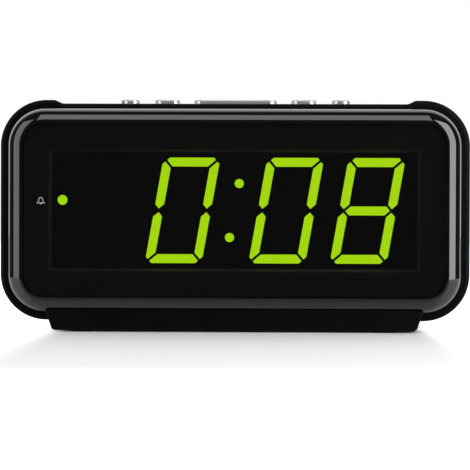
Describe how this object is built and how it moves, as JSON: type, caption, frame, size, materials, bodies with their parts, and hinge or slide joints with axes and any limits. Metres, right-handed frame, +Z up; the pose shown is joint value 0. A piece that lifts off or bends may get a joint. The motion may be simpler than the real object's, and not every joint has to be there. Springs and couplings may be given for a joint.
{
  "type": "digital led desk clock",
  "caption": "Mains desk clock with a wide seven-segment LED display behind a smoked lens, push buttons on top, slide switches, adaptor inlet and backup battery bay at the back.",
  "frame": {"origin": "on the desk surface, under the middle of the clock's outline", "axes": "+X to the right seen from the front, +Y from the front to the back, +Z up"},
  "size_m": [0.1576, 0.048, 0.078],
  "materials": {
    "matte_black": "moulded ABS with a fine spark-eroded matte texture",
    "gloss_black": "polished high-gloss moulded ABS",
    "smoked_lens": "smoked acrylic sheet, polished",
    "tape": "double-sided adhesive foam",
    "reflector_black": "black printed front, moulded",
    "segment_dark": "tinted translucent resin, unlit",
    "segment_lit": "translucent resin, lit yellow-green",
    "chip_white": "light-emitting chip package",
    "circuit_board": "glass-epoxy laminate with solder mask",
    "chip_black": "moulded package",
    "steel": "nickel-plated steel",
    "capacitor": "sleeved aluminium can",
    "socket_white": "moulded nylon",
    "ribbon": "grey PVC flat cable",
    "knob_black": "moulded acetal",
    "jack_black": "moulded nylon",
    "brass": "rolled brass disc",
    "wire": "PVC insulation",
    "plated_button": "bright chrome plate on moulded ABS",
    "rubber": "moulded non-slip rubber",
    "screw_black": "black zinc-plated steel"
  },
  "bodies": {
    "case": {"cabinet": "matte_black", "rear_cover": "matte_black", "desk_stand": "matte_black", "front_bezel": "gloss_black", "display_lens": "smoked_lens", "lens_tape": "tape", "led_reflector": "reflector_black", "hour_tens_segments": "segment_dark", "unlit_segments": "segment_dark", "hour_units_segments": "segment_lit", "minute_tens_segments": "segment_lit", "minute_units_segments": "segment_lit", "colon_dots": "segment_lit", "alarm_dot": "segment_lit", "led_chips": "chip_white", "main_board": "circuit_board", "key_board": "circuit_board", "switch_board": "circuit_board", "controller_chip": "chip_black", "quartz_crystal": "steel", "filter_capacitors": "capacitor", "ribbon_sockets": "socket_white", "key_ribbon": "ribbon", "switch_ribbon": "ribbon", "tact_switch_bodies": "chip_black", "slide_switch_bodies": "steel", "dc_jack": "jack_black", "dc_jack_pin": "steel", "dc_jack_nut": "steel", "dc_leads": "wire", "buzzer_case": "jack_black", "buzzer_disc": "brass", "buzzer_leads": "wire", "battery_tray": "matte_black", "battery_springs": "steel", "battery_plates": "steel", "battery_leads": "wire", "rubber_feet": "rubber", "case_screws": "screw_black", "main_board_screws": "screw_black", "key_board_screws": "screw_black", "switch_board_screws": "screw_black", "stand_screws": "screw_black"},
    "hour_key": {"hour_button": "plated_button", "hour_plunger": "jack_black"},
    "minute_key": {"minute_button": "plated_button", "minute_plunger": "jack_black"},
    "snooze_key": {"snooze_button": "plated_button", "snooze_plunger": "jack_black"},
    "time_key": {"time_button": "plated_button", "time_plunger": "jack_black"},
    "alarm_key": {"alarm_button": "plated_button", "alarm_plunger": "jack_black"},
    "alarm_slide": {"alarm_switch_knob": "knob_black"},
    "dimmer_slide": {"dimmer_knob": "knob_black"},
    "door": {"battery_door": "matte_black"}
  },
  "joints": [
    {"name": "hour_press", "type": "slide", "parent": "case", "child": "hour_key", "axis": [0, 0, -1], "range_m": [0, 0.0008], "stiffness_N_per_m": 700, "springref_m": -0.0006},
    {"name": "minute_press", "type": "slide", "parent": "case", "child": "minute_key", "axis": [0, 0, -1], "range_m": [0, 0.0008], "stiffness_N_per_m": 700, "springref_m": -0.0006},
    {"name": "snooze_press", "type": "slide", "parent": "case", "child": "snooze_key", "axis": [0, 0, -1], "range_m": [0, 0.0008], "stiffness_N_per_m": 700, "springref_m": -0.0006},
    {"name": "time_press", "type": "slide", "parent": "case", "child": "time_key", "axis": [0, 0, -1], "range_m": [0, 0.0008], "stiffness_N_per_m": 700, "springref_m": -0.0006},
    {"name": "alarm_press", "type": "slide", "parent": "case", "child": "alarm_key", "axis": [0, 0, -1], "range_m": [0, 0.0008], "stiffness_N_per_m": 700, "springref_m": -0.0006},
    {"name": "alarm_switch_slide", "type": "slide", "parent": "case", "child": "alarm_slide", "axis": [1, 0, 0], "range_m": [0, 0.0025]},
    {"name": "dimmer_switch_slide", "type": "slide", "parent": "case", "child": "dimmer_slide", "axis": [1, 0, 0], "range_m": [0, 0.0025]},
    {"name": "battery_door_hinge", "type": "hinge", "parent": "case", "child": "door", "pos_m": [-0.02679, 0.0224, 0.0249], "axis": [-1, 0, 0], "range_deg": [0, 85]}
  ]
}
